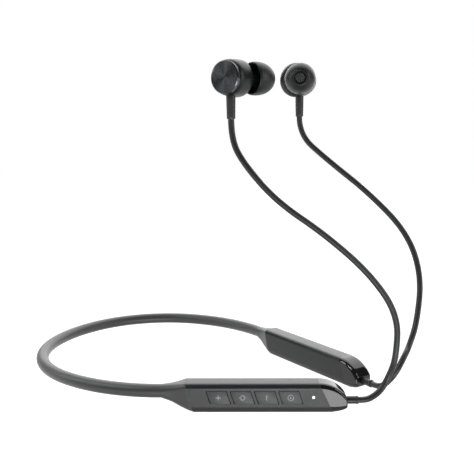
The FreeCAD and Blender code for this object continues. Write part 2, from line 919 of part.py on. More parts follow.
def build_front(name, side, place):
    """The front housing with its offset, bent nozzle, and the mesh in the nozzle's mouth."""
    wall = size("bud_wall")
    barrel = size("barrel_diameter") / 2
    reach = size("front_length")
    seat = size("driver_diameter") / 2 - wall / 2
    zero = Size(0.0, "0")
    dome = turned([
        (zero, zero),
        (zero, barrel),
        (reach * 0.28, barrel - wall * 0.4),
        (reach * 0.7, barrel * 0.72),
        (reach, barrel * 0.4),
        (reach, zero),
    ])
    hollow = turned([
        (zero, zero),
        (zero, seat),
        (reach * 0.5, seat - wall),
        (reach * 0.5, zero),
    ])
    root = size("nozzle_root")
    spout = cylinder((-root, zero, zero), (1, 0, 0), size("nozzle_diameter"), size("nozzle_length") + root)
    bore = cylinder((-root, zero, zero), (1, 0, 0), size("nozzle_bore"), size("nozzle_length") * 2)
    for rod in (spout, bore):
        rod.Placement = nozzle_in_bud(side) * rod.Placement
    solid = cut(cut(fused(dome, spout), hollow), bore)
    ahead = box((zero, -barrel * 2, -barrel * 2), (barrel * 4, barrel * 4, barrel * 4))
    publish(common(solid, ahead), name + "_front_housing", place)
    mesh_start = size("nozzle_length") - size("mesh_thickness") * 2
    mesh_end = mesh_start + size("mesh_thickness")
    mesh = turned([
        (mesh_start, zero),
        (mesh_end, zero),
        (mesh_end, size("nozzle_bore") / 2),
        (mesh_start, size("nozzle_bore") / 2),
    ])
    publish(mesh, name + "_nozzle_mesh", nozzle_placement(name, side))


def stem_start():
    """How far below the earbud's axis the stem starts: at the barrel's inner wall."""
    return SIZES["cap_diameter"] / 2 - SIZES["bud_wall"] + 0.5


def build_stem(name, place):
    """The stem below the barrel, which is the cable's strain relief."""
    stem = doc.addObject("Part::Cone", "Stem")
    bind(stem, Radius1=size("stem_top_diameter") / 2, Radius2=size("stem_end_diameter") / 2,
         Height=size("stem_length"))
    down = FreeCAD.Rotation(Vector(0, 0, 1), Vector(0, 0, -1))
    stem.Placement = FreeCAD.Placement(Vector(-SIZES["stem_back"], 0, -stem_start()), down)
    publish(stem, name + "_stem", place)


def stem_end(name):
    """The middle of the stem's end face and the way out of it."""
    place = bud_placement(name)
    depth = stem_start() + SIZES["stem_length"]
    centre = place.multVec(Vector(-SIZES["stem_back"], 0, -depth))
    return centre, place.Rotation.multVec(Vector(0, 0, -1))


def build_tip(name, side):
    """The silicone ear tip: a core on the nozzle and a dome folded back over it."""
    gap = size("fit_gap")
    start = size("tip_start")
    end = start + size("tip_length")
    wide = size("tip_diameter") / 2
    skin = size("tip_skin")
    bore = size("nozzle_diameter") / 2 + gap
    core = bore + size("tip_core_wall")
    core_start = end - skin - size("tip_core_length")
    throat = end - skin * 2
    publish(turned([
        (core_start, bore),
        (end, bore),
        (end, bore + skin),
        (end - size("tip_length") * 0.12, wide * 0.66),
        (start + size("tip_length") * 0.55, wide * 0.93),
        (start + size("tip_length") * 0.22, wide),
        (start, wide * 0.93),
        (start, wide * 0.93 - skin),
        (start + size("tip_length") * 0.22, wide - skin),
        (start + size("tip_length") * 0.55, wide * 0.93 - skin),
        (throat, core + skin * 0.6),
        (throat, core),
        (core_start, core),
    ]), name + "_ear_tip", nozzle_placement(name, side))


# Cables


def build_cable(name, side):
    """The free cable from the nose's relief to the earbud's stem."""
    place = pod_placement(side)
    reach = SIZES["pod_length"] + SIZES["relief_length"]
    start = place.multVec(Vector(reach, 0, SIZES["relief_height"]))
    ahead = place.Rotation.multVec(Vector(1, 0, 0)) * CABLE_START_RUN
    end, down = stem_end(name)
    before_end = end + down * CABLE_END_RUN
    route = [start, start + ahead, *CABLE_ROUTES[name], before_end, end]
    print(name + "_cable route", [tuple(round(x, 1) for x in Vector(*point)) for point in route])
    shaped(cable_tube(route), name + "_cable", FreeCAD.Placement())


build_band()
for pod_name, pod_side in SIDES.items():
    pod_shells(pod_name, pod_side)
    build_clamp(pod_name, pod_side)
build_controls()
build_power()
for bud_name, bud_side in SIDES.items():
    build_bud(bud_name, bud_side)
    build_cable(bud_name, bud_side)
doc.recompute()

for thing in doc.Objects:
    if "Invalid" in thing.State or "Error" in thing.State:
        raise RuntimeError("failed to recompute: " + thing.Name + " " + thing.Label)
os.makedirs("parts", exist_ok=True)
for node in nodes:
    if node.Shape.isNull() or not node.Shape.isValid():
        raise RuntimeError("bad shape: " + node.Label)
    node.Shape.exportStep("parts/" + node.Label + ".step")
print(len(nodes), "sub-parts written")
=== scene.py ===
import json
from math import atan2, cos, pi, radians, sin

import bmesh
import bpy
from mathutils import Matrix, Vector


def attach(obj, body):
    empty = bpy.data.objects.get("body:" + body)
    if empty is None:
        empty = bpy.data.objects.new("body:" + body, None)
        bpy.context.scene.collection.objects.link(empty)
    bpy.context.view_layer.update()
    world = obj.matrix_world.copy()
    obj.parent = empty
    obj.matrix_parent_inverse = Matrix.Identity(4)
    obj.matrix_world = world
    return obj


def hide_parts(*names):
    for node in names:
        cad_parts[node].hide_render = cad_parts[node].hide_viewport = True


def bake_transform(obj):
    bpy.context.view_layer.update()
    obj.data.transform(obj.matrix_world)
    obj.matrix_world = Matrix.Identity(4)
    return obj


# Neckband earphones. Sizes are in millimetres; MM turns them to the scene's metres.
# The frame's origin is the middle of the band's back, +X forwards, +Y to the wearer's left.

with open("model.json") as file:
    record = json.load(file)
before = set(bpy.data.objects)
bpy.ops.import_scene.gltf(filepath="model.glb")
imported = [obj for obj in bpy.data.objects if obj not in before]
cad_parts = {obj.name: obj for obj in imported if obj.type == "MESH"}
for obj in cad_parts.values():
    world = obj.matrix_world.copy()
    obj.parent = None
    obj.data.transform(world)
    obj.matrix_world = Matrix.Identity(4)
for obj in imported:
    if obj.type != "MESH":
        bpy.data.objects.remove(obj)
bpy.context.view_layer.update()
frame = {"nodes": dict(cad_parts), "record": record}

MM = 0.001
RIGHT = -1
LEFT = 1
SIDES = {"right": RIGHT, "left": LEFT}

# Band: radius and turn in degrees of each bend, from the nape forwards.
BAND_BENDS = [(56.4, 15.4), (46.7, 61.4), (62.3, 40.6)]
SLEEVE_RADIUS = 2.5
BOOT_LENGTH = 10.0

# Pod
POD_HALF = 4.2
REAR_LEAN = 0.28
RELIEF_HEIGHT = -3.6

# Buttons
BUTTONS = ["volume_up", "power", "volume_down", "play"]
BUTTON_START = 6.9
BUTTON_PITCH = 8.8
BUTTON_WIDTH = 7.8
BUTTON_RISE = 4.9
BUTTON_MIDDLE = -1.05
BUTTON_LEAN = 0.32
BUTTON_FACE = POD_HALF + 0.15

# Lamp window: along the pod and up.
WINDOW_ALONG = 45.9
WINDOW_UP = -1.0

# Earbuds: ring centre, heading and tilt.
BUD_PLACES = {
    "right": ((98.8, -19.6, 114.0), 84.3, 1.5),
    "left": ((107.0, 16.4, 116.1), -90.2, -1.5),
}
NOZZLE_BASE = 2.5
NOZZLE_OFFSET = 3.0
NOZZLE_BEND = 22.0
STEM_BACK = 4.2
STEM_START = 5.65

# Cables: from each nose's relief up to the earbud's stem.
CABLE_DIAMETER = 2.3
CABLE_ROUTES = {
    "right": [
        (144.00, -9.16, -3.6),
        (146.21, -7.99, -3.6),
        (148.2, -6.5, -3.0),
        (151.1, -3.6, -0.6),
        (153.6, -1.6, 5.2),
        (156.2, -3.5, 13.0),
        (156.2, -2.5, 28.5),
        (146.7, -6.3, 43.4),
        (131.5, -13.3, 58.0),
        (115.0, -20.2, 70.0),
        (104.0, -24.4, 83.4),
        (98.4, -23.2, 91.9),
        (98.4, -23.4, 99.3),
    ],
    "left": [
        (144.00, 9.16, -3.6),
        (146.21, 7.99, -3.6),
        (148.3, 6.8, -2.9),
        (150.8, 5.2, -0.9),
        (154.5, 4.3, 4.2),
        (156.7, 8.0, 10.1),
        (157.0, 13.8, 12.3),
        (158.5, 19.6, 20.6),
        (158.2, 26.6, 38.0),
        (151.4, 29.6, 54.5),
        (136.0, 27.2, 70.2),
        (118.0, 22.9, 84.6),
        (107.0, 21.2, 94.3),
        (107.0, 21.0, 101.7),
    ],
}


# Places


def band_line(side):
    """The centre of each bend of half the band, the end of its line and its end heading."""
    place = Vector((0, 0, 0))
    inward = Vector((1, 0, 0))
    centres = []
    for radius, turn in BAND_BENDS:
        centre = place + inward * radius
        swing = Matrix.Rotation(-side * radians(turn), 3, "Z")
        place = centre + swing @ (place - centre)
        inward = swing @ inward
        centres.append(centre)
    forwards = Matrix.Rotation(side * radians(90), 3, "Z") @ inward
    return centres, place, forwards


def pod_place(side):
    """The pod's own frame: x from the rear seam to the nose, z up."""
    _, end, forwards = band_line(side)
    start = end + forwards * BOOT_LENGTH
    return Matrix.Translation(start) @ Matrix.Rotation(atan2(forwards.y, forwards.x), 4, "Z")


def bud_place(name):
    """The earbud's own frame: x runs inwards, into the ear."""
    centre, heading, tilt = BUD_PLACES[name]
    turn = Matrix.Rotation(radians(heading), 4, "Z") @ Matrix.Rotation(radians(-tilt), 4, "Y")
    return Matrix.Translation(centre) @ turn


def nozzle_place(name, side):
    offset = Matrix.Translation((NOZZLE_BASE, side * NOZZLE_OFFSET, 0))
    return bud_place(name) @ offset @ Matrix.Rotation(side * radians(NOZZLE_BEND), 4, "Z")


# Nodes and colours


def linear(code):
    """An sRGB hex colour as linear red, green, blue and alpha."""
    shares = [int(code[start:start + 2], 16) / 255 for start in (1, 3, 5)]
    bent = [share / 12.92 if share <= 0.04045 else ((share + 0.055) / 1.055) ** 2.4 for share in shares]
    return (*bent, 1.0)


def add(tree, kind, inputs=None, **settings):
    """Add a node with its settings, its values and its links."""
    node = tree.nodes.new(kind)
    for name, value in settings.items():
        setattr(node, name, value)
    for name, value in (inputs or {}).items():
        if isinstance(value, bpy.types.NodeSocket):
            tree.links.new(value, node.inputs[name])
        else:
            node.inputs[name].default_value = value
    return node


def bare_material(name, **uniform):
    """A material with one surface shader, whose uniform values are set on its own sockets."""
    material = bpy.data.materials.new(name)
    material.use_nodes = True
    tree = material.node_tree
    tree.nodes.clear()
    surface = add(tree, "ShaderNodeBsdfPrincipled")
    for socket, value in uniform.items():
        surface.inputs[socket.replace("_", " ")].default_value = value
    add(tree, "ShaderNodeOutputMaterial", {"Surface": surface.outputs["BSDF"]})
    return material, tree, surface


def grained(name, dark, light, smooth, rough, grain, depth, patch=9.0, **uniform):
    """A fine even grain over two close colours, with a roughness that wanders."""
    material, tree, surface = bare_material(name, **uniform)
    where = add(tree, "ShaderNodeTexCoord").outputs["Object"]
    patches = add(tree, "ShaderNodeTexNoise", {"Vector": where, "Scale": 1 / (patch * MM), "Detail": 4.0})
    tint = add(tree, "ShaderNodeMix", {0: patches.outputs["Fac"], 6: linear(dark), 7: linear(light)},
               data_type="RGBA")
    wear = add(tree, "ShaderNodeTexNoise", {"Vector": where, "Scale": 1 / (patch * 0.3 * MM), "Detail": 5.0})
    gloss = add(tree, "ShaderNodeMapRange", {"Value": wear.outputs["Fac"], "To Min": smooth, "To Max": rough})
    pits = add(tree, "ShaderNodeTexNoise", {"Vector": where, "Scale": 1 / (grain * MM), "Detail": 3.0})
    relief = add(tree, "ShaderNodeBump",
                 {"Height": pits.outputs["Fac"], "Distance": depth * MM, "Strength": 1.0})
    tree.links.new(tint.outputs[2], surface.inputs["Base Color"])
    tree.links.new(gloss.outputs["Result"], surface.inputs["Roughness"])
    tree.links.new(relief.outputs["Normal"], surface.inputs["Normal"])
    return material


def spun_aluminium():
    """Aluminium anodised dark grey, faced on a lathe: fine rings whose gloss fans out from the centre."""
    material, tree, surface = bare_material("spun_anodised_aluminium", Metallic=1.0, Anisotropic=0.9,
                                             Anisotropic_Rotation=0.25)
    across = add(tree, "ShaderNodeUVMap", uv_map="turning").outputs["UV"]
    parts = add(tree, "ShaderNodeSeparateXYZ", {"Vector": across})
    # Lathe lines 0.12 mm apart: the UV's second number is the distance from the axis in mm.
    rings = add(tree, "ShaderNodeTexNoise", {"W": parts.outputs["Y"], "Scale": 8.0, "Detail": 4.0},
                noise_dimensions="1D")
    tint = add(tree, "ShaderNodeMix", {0: rings.outputs["Fac"], 6: linear("#3B3C3F"), 7: linear("#6A6B6F")},
               data_type="RGBA")
    gloss = add(tree, "ShaderNodeMapRange", {"Value": rings.outputs["Fac"], "To Min": 0.20, "To Max": 0.30})
    relief = add(tree, "ShaderNodeBump",
                 {"Height": rings.outputs["Fac"], "Distance": 0.004 * MM, "Strength": 0.6})
    turning = add(tree, "ShaderNodeTangent", direction_type="UV_MAP", uv_map="turning")
    tree.links.new(tint.outputs[2], surface.inputs["Base Color"])
    tree.links.new(gloss.outputs["Result"], surface.inputs["Roughness"])
    tree.links.new(relief.outputs["Normal"], surface.inputs["Normal"])
    tree.links.new(turning.outputs["Tangent"], surface.inputs["Tangent"])
    return material


def woven_steel():
    """Fine steel gauze: a plain weave, drawn at 0.3 mm, coarser than the real 0.1 mm, so it shows."""
    material, tree, surface = bare_material("woven_steel_gauze", Metallic=0.9)
    across = add(tree, "ShaderNodeUVMap", uv_map="turning").outputs["UV"]
    warp = add(tree, "ShaderNodeTexWave", {"Vector": across, "Scale": 1.05, "Distortion": 0.0},
               bands_direction="X")
    weft = add(tree, "ShaderNodeTexWave", {"Vector": across, "Scale": 1.05, "Distortion": 0.0},
               bands_direction="Y")
    wires = add(tree, "ShaderNodeMath", {0: warp.outputs["Fac"], 1: weft.outputs["Fac"]}, operation="MAXIMUM")
    tint = add(tree, "ShaderNodeMix", {0: wires.outputs["Value"], 6: linear("#17181A"), 7: linear("#6B6C6F")},
               data_type="RGBA")
    gloss = add(tree, "ShaderNodeMapRange", {"Value": wires.outputs["Value"], "To Min": 0.7, "To Max": 0.4})
    relief = add(tree, "ShaderNodeBump",
                 {"Height": wires.outputs["Value"], "Distance": 0.05 * MM, "Strength": 1.0})
    tree.links.new(tint.outputs[2], surface.inputs["Base Color"])
    tree.links.new(gloss.outputs["Result"], surface.inputs["Roughness"])
    tree.links.new(relief.outputs["Normal"], surface.inputs["Normal"])
    return material


def lit_lamp():
    """Clear moulded acrylic over a white lamp: its face glows evenly, with a soft edge."""
    material, tree, surface = bare_material("lit_clear_acrylic", Roughness=0.2, IOR=1.49)
    where = add(tree, "ShaderNodeTexCoord").outputs["Object"]
    cloud = add(tree, "ShaderNodeTexNoise", {"Vector": where, "Scale": 1 / (0.6 * MM), "Detail": 2.0})
    glow = add(tree, "ShaderNodeMix", {0: cloud.outputs["Fac"], 6: linear("#E9EEF6"), 7: linear("#FFFFFF")},
               data_type="RGBA")
    tree.links.new(glow.outputs[2], surface.inputs["Base Color"])
    tree.links.new(glow.outputs[2], surface.inputs["Emission Color"])
    surface.inputs["Emission Strength"].default_value = 1.4
    return material


# Moulded silicone rubber: dull, with a spark-eroded mould's grain of about 0.12 mm.
band_silicone = grained("moulded_band_silicone", "#161719", "#1B1C1E", 0.46, 0.54, 0.12, 0.008,
                        Specular_IOR_Level=0.8, Sheen_Weight=0.3, Sheen_Roughness=0.5)
# ABS moulded against a finely eroded steel: dark satin.
pod_abs = grained("moulded_pod_abs", "#151617", "#1B1C1E", 0.38, 0.48, 0.10, 0.008, Specular_IOR_Level=0.45)
# The lid's ABS has a smoother satin lacquer, so the sky shows in it as a pale strip.
lid_lacquer = grained("satin_lacquered_abs", "#1A1B1C", "#202123", 0.30, 0.38, 0.14, 0.004,
                      Specular_IOR_Level=0.4)
# Polished black polycarbonate: deep gloss with a slight orange peel 1.5 mm across.
nose_gloss = grained("polished_polycarbonate", "#0B0B0C", "#101011", 0.06, 0.10, 1.5, 0.002,
                     Specular_IOR_Level=0.5)
# The keys are the pods' ABS, moulded a little smoother.
button_abs = grained("moulded_button_abs", "#151617", "#1B1C1E", 0.36, 0.44, 0.08, 0.005,
                     Specular_IOR_Level=0.5)
# Pad-printed grey ink: thin, dull and slightly uneven.
printed_ink = grained("pad_printed_ink", "#8E9093", "#A0A2A5", 0.55, 0.70, 0.10, 0.004, patch=1.2)
# Earbud shells: ABS with a satin paint.
bud_abs = grained("satin_painted_abs", "#0B0C0D", "#111213", 0.30, 0.38, 0.09, 0.004,
                  Specular_IOR_Level=0.27)
# Liquid silicone rubber: soft satin, slightly see-through at its thin edges.
tip_silicone = grained("liquid_silicone_rubber", "#101113", "#161719", 0.36, 0.46, 0.20, 0.004,
                       Specular_IOR_Level=0.3, Sheen_Weight=0.06, Sheen_Roughness=0.4)
# TPE cable jacket: extruded, satin, with faint lengthwise unevenness.
cable_tpe = grained("extruded_cable_tpe", "#19191B", "#202123", 0.36, 0.46, 0.25, 0.006,
                    Specular_IOR_Level=0.5)
spring_steel = grained("drawn_spring_steel", "#8A8C90", "#9C9EA2", 0.25, 0.35, 0.20, 0.004, Metallic=1.0)
port_steel = grained("stamped_stainless_steel", "#A6A8AB", "#B9BBBE", 0.22, 0.32, 0.30, 0.003, Metallic=1.0)
switch_steel = grained("snap_dome_steel", "#B4B6B9", "#C6C8CB", 0.18, 0.26, 0.30, 0.003, Metallic=1.0)
clamp_brass = grained("machined_brass", "#A9874A", "#B8965A", 0.25, 0.35, 0.20, 0.004, Metallic=1.0)
magnet_plate = grained("nickel_plated_magnet", "#BDBBB5", "#CBC9C3", 0.15, 0.25, 0.40, 0.003, Metallic=1.0)
driver_can = grained("painted_driver_can", "#46484C", "#54565A", 0.40, 0.50, 0.15, 0.005)
board_resist = grained("green_solder_resist", "#17402A", "#1F5035", 0.35, 0.50, 0.25, 0.010, patch=3.0)
chip_epoxy = grained("moulded_chip_epoxy", "#141416", "#1B1B1E", 0.55, 0.65, 0.06, 0.004)
cell_foil = grained("laminated_pouch_foil", "#B0B2B5", "#C2C4C7", 0.30, 0.45, 0.60, 0.020, Metallic=0.8)
foam_grey = grained("open_cell_foam", "#505256", "#64666A", 0.85, 0.95, 0.30, 0.080)
cap_aluminium = spun_aluminium()
gauze_steel = woven_steel()
lamp_acrylic = lit_lamp()

FINISHES = {
    "band_silicone": band_silicone,
    "pod_plastic": pod_abs,
    "end_gloss": nose_gloss,
    "button_plastic": button_abs,
    "bud_plastic": bud_abs,
    "cap_aluminium": cap_aluminium,
    "tip_silicone": tip_silicone,
    "cable_jacket": cable_tpe,
    "mesh_steel": gauze_steel,
    "port_steel": port_steel,
    "spring_steel": spring_steel,
    "board_green": board_resist,
    "chip_black": chip_epoxy,
    "lamp_clear": lamp_acrylic,
    "cell_foil": cell_foil,
    "foam_grey": foam_grey,
    "driver_metal": driver_can,
    "magnet_steel": magnet_plate,
    "clamp_brass": clamp_brass,
    "switch_steel": switch_steel,
}


# Making pieces


def finished(bm, name, material, place):
    """Turn a bmesh drawn in millimetres into a smooth-shaded piece in its place."""
    bmesh.ops.remove_doubles(bm, verts=bm.verts, dist=0.0005)
    bmesh.ops.recalc_face_normals(bm, faces=bm.faces)
    bm.transform(Matrix.Diagonal((MM, MM, MM, 1)) @ place)
    for face in bm.faces:
        face.smooth = True
    for edge in bm.edges:
        if edge.is_manifold and edge.calc_face_angle() > radians(38):
            edge.smooth = False
    mesh = bpy.data.meshes.new(name)
    bm.to_mesh(mesh)
    bm.free()
    mesh.materials.append(material)
    piece = bpy.data.objects.new(name, mesh)
    bpy.context.scene.collection.objects.link(piece)
    return piece


def held(piece, body, *nodes):
    """The piece rides on a body and stands for these nodes."""
    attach(piece, body)
    if nodes:
        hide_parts(*nodes)
    return piece


def rounded_edges(bm, offset, sharper=30, segments=3):
    """Round every edge that is sharper than an angle."""
    chosen = [edge for edge in bm.edges if edge.is_manifold and edge.calc_face_angle() > radians(sharper)]
    bmesh.ops.bevel(bm, geom=chosen, offset=offset, offset_type="OFFSET", affect="EDGES", segments=segments,
                    profile=0.5, material=-1, clamp_overlap=True)


def turned(corners, steps=72, closed=True):
    """Spin an outline of (along, radius) corners about the x axis."""
    bm = bmesh.new()
    corner_verts = [bm.verts.new((along, 0, radius)) for along, radius in corners]
    pairs = list(zip(corner_verts, corner_verts[1:]))
    if closed:
        pairs.append((corner_verts[-1], corner_verts[0]))
    edges = [bm.edges.new(pair) for pair in pairs if max(pair[0].co.z, pair[1].co.z) > 0]
    bmesh.ops.spin(bm, geom=corner_verts + edges, cent=(0, 0, 0), axis=(1, 0, 0), angle=2 * pi,
                   steps=steps, use_merge=True, use_duplicate=False)
    bmesh.ops.remove_doubles(bm, verts=bm.verts, dist=0.0005)
    bmesh.ops.recalc_face_normals(bm, faces=bm.faces)
    return bm


def turning_map(bm):
    """A UV map for lathe-turned faces: round the axis, and away from it in millimetres."""
    layer = bm.loops.layers.uv.new("turning")
    for face in bm.faces:
        middle = face.calc_center_median()
        base = atan2(middle.z, middle.y)
        for loop in face.loops:
            spot = loop.vert.co
            reach = (spot.y ** 2 + spot.z ** 2) ** 0.5
            angle = atan2(spot.z, spot.y) if reach > 0.001 else base
            angle = base + (angle - base + pi) % (2 * pi) - pi
            loop[layer].uv = (angle / (2 * pi), reach)


def flat_map(bm):
    """A UV map across a disc, in units of 0.3 mm."""
    layer = bm.loops.layers.uv.new("turning")
    for face in bm.faces:
        for loop in face.loops:
            loop[layer].uv = (loop.vert.co.y / 0.3, loop.vert.co.z / 0.3)


# Band


BOOT_KEYS = [
    # Place along the pod, half width, top, bottom, top edge radius, bottom edge radius.
    (-10.0, 2.5, 2.5, -2.5, 2.45, 2.45),
    (-6.2, 2.84, 2.84, -3.85, 2.2, 2.4),
    (-3.0, 3.44, 3.26, -5.95, 1.9, 2.8),
    (0.0, 4.15, 3.78, -7.65, 1.7, 3.4),
    (3.0, 4.2, 3.8, -7.7, 1.7, 3.4),
]


def boot_section(along):
    """The boot's section sizes at a place along it, on a smooth curve through the keys."""
    index = max(i for i in range(len(BOOT_KEYS) - 1) if BOOT_KEYS[i][0] <= along + 1e-9)
    start, end = BOOT_KEYS[index], BOOT_KEYS[index + 1]
    before = BOOT_KEYS[max(index - 1, 0)]
    after = BOOT_KEYS[min(index + 2, len(BOOT_KEYS) - 1)]
    span = end[0] - start[0]
    share = (along - start[0]) / span
    sizes = []
    for item in range(1, 6):
        rise_in = (end[item] - before[item]) / (end[0] - before[0]) * span
        rise_out = (after[item] - start[item]) / (after[0] - start[0]) * span
        value = (2 * share ** 3 - 3 * share ** 2 + 1) * start[item]
        value += (share ** 3 - 2 * share ** 2 + share) * rise_in
        value += (3 * share ** 2 - 2 * share ** 3) * end[item]
        value += (share ** 3 - share ** 2) * rise_out
        sizes.append(value)
    return sizes


def corner_point(angle, half, top, bottom, top_round, bottom_round):
    """Where a point of the round sleeve goes on a section with four rounded corners."""
    radius = top_round if sin(angle) > 0 else bottom_round
    level = top - radius if sin(angle) > 0 else bottom + radius
    across = half - radius if cos(angle) > 0 else radius - half
    return across + radius * cos(angle), level + radius * sin(angle)


def band_tube(name, side, radius, lift, steps_per_mm=0.6):
    """A ring spun through half the band's three bends. Gives the bmesh and its last edges."""
    bm = bmesh.new()
    around = bm.verts.layers.float.new("around")
    count = 48
    ring = bmesh.ops.create_circle(bm, segments=count, radius=radius)["verts"]
    stand = Matrix.Translation((0, 0, lift)) @ Matrix.Rotation(radians(90), 4, "X")
    stand = stand @ Matrix.Rotation(pi / count, 4, "Z")
    bmesh.ops.transform(bm, matrix=stand, verts=ring)
    for vert in ring:
        vert[around] = atan2(vert.co.z - lift, -side * vert.co.x)
    bmesh.ops.contextual_create(bm, geom=bm.edges[:])
    edges = [edge for edge in bm.edges]
    centres, _, _ = band_line(side)
    for (bend, turn), centre in zip(BAND_BENDS, centres):
        steps = max(6, round(bend * radians(turn) * steps_per_mm))
        spun = bmesh.ops.spin(bm, geom=edges, cent=centre, axis=(0, 0, 1), angle=-side * radians(turn),
                              steps=steps, use_duplicate=False)
        edges = [item for item in spun["geom_last"] if isinstance(item, bmesh.types.BMEdge)]
    return bm, edges, around


def next_ring(bm, edges):
    """Extrude a ring once. Gives its new edges and vertices."""
    grown = bmesh.ops.extrude_edge_only(bm, edges=edges)["geom"]
    new_edges = [item for item in grown if isinstance(item, bmesh.types.BMEdge) and not any(
        vert in old.verts for old in edges for vert in item.verts)]
    return new_edges, list({vert for edge in new_edges for vert in edge.verts})


def band_half(name, side):
    """Half the silicone sleeve, from the nape to the boot that meets the pod's rear seam."""
    bm, edges, around = band_tube(name, side, SLEEVE_RADIUS, 0.0)
    place = pod_place(side)
    stations = [-9.2, -8.4, -7.6, -6.8, -6.0, -5.2, -4.4, -3.6, -2.8, -2.0, -1.3, -0.7, -0.2]
    for station in stations + ["rim", "face"]:
        edges, ring = next_ring(bm, edges)
        inset = {"rim": 0.01, "face": 0.15}.get(station, 0.0)
        along = {"rim": -0.04, "face": -0.02}.get(station, station)
        sizes = boot_section(along)
        sizes = [sizes[0] - inset, sizes[1] - inset, sizes[2] + inset,
                 max(sizes[3] - inset, 0.2), sizes[4] - inset]
        leaning = ((along + BOOT_LENGTH) / BOOT_LENGTH) ** 2
        for vert in ring:
            across, high = corner_point(vert[around], *sizes)
            vert.co = place @ Vector((along - high * REAR_LEAN * leaning, across, high))
    bmesh.ops.contextual_create(bm, geom=edges)
    piece = finished(bm, name + "_band_sleeve", band_silicone, Matrix())
    return bent_with_arm(piece)


def bent_with_arm(piece):
    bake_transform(piece)
    return piece


def inner_wire(name, side, label, radius, lift, material):
    """A wire inside the sleeve, from the nape to just inside the pod."""
    bm, edges, _ = band_tube(name, side, radius, lift)
    edges, ring = next_ring(bm, edges)
    _, _, forwards = band_line(side)
    bmesh.ops.translate(bm, verts=ring, vec=forwards * (BOOT_LENGTH + 3.0))
    bmesh.ops.contextual_create(bm, geom=edges)
    piece = finished(bm, name + "_" + label, material, Matrix())
    return bent_with_arm(piece)


for name, side in SIDES.items():
    sleeve = band_half(name, side)
    wire = inner_wire(name, side, "spring_wire", 0.6, -0.7, spring_steel)
    link = inner_wire(name, side, "link_cable", 0.65, 0.9, cable_tpe)
    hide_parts("band_sleeve")
    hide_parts("spring_wire")
    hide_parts("link_cable")


# Buttons, lamp and reliefs


def button_shape(index):
    """A leaning key with a flange behind it and a nib on the flange, in the pod's frame."""
    bm = bmesh.new()
    middle = BUTTON_START + BUTTON_PITCH * index + BUTTON_WIDTH / 2
    layers = [
        # Growth along and up, back face and front face.
        (-0.24, -0.06, 3.1, BUTTON_FACE),
        (0.35, 0.35, 2.9, 3.25),
    ]
    for wider, higher, back, front in layers:
        block = bmesh.ops.create_cube(bm, size=1.0)["verts"]
        width, rise = BUTTON_WIDTH + 2 * wider, BUTTON_RISE + 2 * higher
        bmesh.ops.scale(bm, vec=(width, front - back, rise), verts=block)
        bmesh.ops.translate(bm, vec=(0, -(front + back) / 2, 0), verts=block)
    nib = bmesh.ops.create_cone(bm, cap_ends=True, segments=24, radius1=0.8, radius2=0.8, depth=0.3)["verts"]
    bmesh.ops.rotate(bm, verts=nib, cent=(0, 0, 0), matrix=Matrix.Rotation(radians(90), 3, "X"))
    bmesh.ops.translate(bm, vec=(0, -2.8, 0), verts=nib)
    for vert in bm.verts:
        vert.co.x += middle - (vert.co.z + BUTTON_MIDDLE) * BUTTON_LEAN
        vert.co.z += BUTTON_MIDDLE
    return bm


def button_piece(index, name):
    bm = button_shape(index)
    uprights = [edge for edge in bm.edges if edge.is_manifold and edge.calc_length() > 0.9
                and abs(edge.verts[0].co.y - edge.verts[1].co.y) > 0.9]
    bmesh.ops.bevel(bm, geom=uprights, offset=0.35, offset_type="OFFSET", affect="EDGES", segments=3,
                    profile=0.5, material=-1, clamp_overlap=True)
    rounded_edges(bm, 0.08)
    piece = finished(bm, name + "_key", button_abs, pod_place(RIGHT))
    return held(piece, name + "_key", name + "_button")


def bar(bm, middle, width, rise):
    verts = bmesh.ops.create_grid(bm, x_segments=1, y_segments=1, size=0.5)["verts"]
    bmesh.ops.scale(bm, vec=(width, rise, 1), verts=verts)
    bmesh.ops.translate(bm, vec=(*middle, 0), verts=verts)


def ring_sign(bm, radius, thick, start, turn):
    """An open or full ring, spun from one short line."""
    inner = bm.verts.new((radius - thick / 2, 0, 0))
    outer = bm.verts.new((radius + thick / 2, 0, 0))
    line = bm.edges.new((inner, outer))
    bmesh.ops.rotate(bm, verts=[inner, outer], cent=(0, 0, 0), matrix=Matrix.Rotation(radians(start), 3, "Z"))
    bmesh.ops.spin(bm, geom=[inner, outer, line], cent=(0, 0, 0), axis=(0, 0, 1), angle=radians(turn),
                   steps=40, use_merge=turn == 360, use_duplicate=False)


def sign(name):
    """The generic sign printed on a key: across is along the pod, up is up."""
    bm = bmesh.new()
    if name == "volume_up":
        bar(bm, (0, 0), 0.34, 1.9)
        bar(bm, (-0.56, 0), 0.78, 0.34)
        bar(bm, (0.56, 0), 0.78, 0.34)
    if name == "volume_down":
        bar(bm, (0, 0), 0.34, 1.9)
    if name == "power":
        ring_sign(bm, 0.85, 0.28, 220, 280)
        bar(bm, (-0.72, 0), 0.95, 0.28)
    if name == "play":
        ring_sign(bm, 1.05, 0.22, 0, 360)
        bmesh.ops.create_circle(bm, cap_ends=True, segments=3, radius=0.5)
    bmesh.ops.solidify(bm, geom=bm.faces[:], thickness=0.03)
    return bm


def printed_sign(index, name):
    middle = BUTTON_START + BUTTON_PITCH * index + BUTTON_WIDTH / 2 - BUTTON_MIDDLE * BUTTON_LEAN
    on_face = Matrix.Translation((middle, -BUTTON_FACE - 0.01, BUTTON_MIDDLE))
    on_face = on_face @ Matrix.Rotation(radians(90), 4, "X")
    piece = finished(sign(name), name + "_sign", printed_ink, pod_place(RIGHT) @ on_face)
    return held(piece, name + "_key")


for index, name in enumerate(BUTTONS):
    button_piece(index, name)
    printed_sign(index, name)


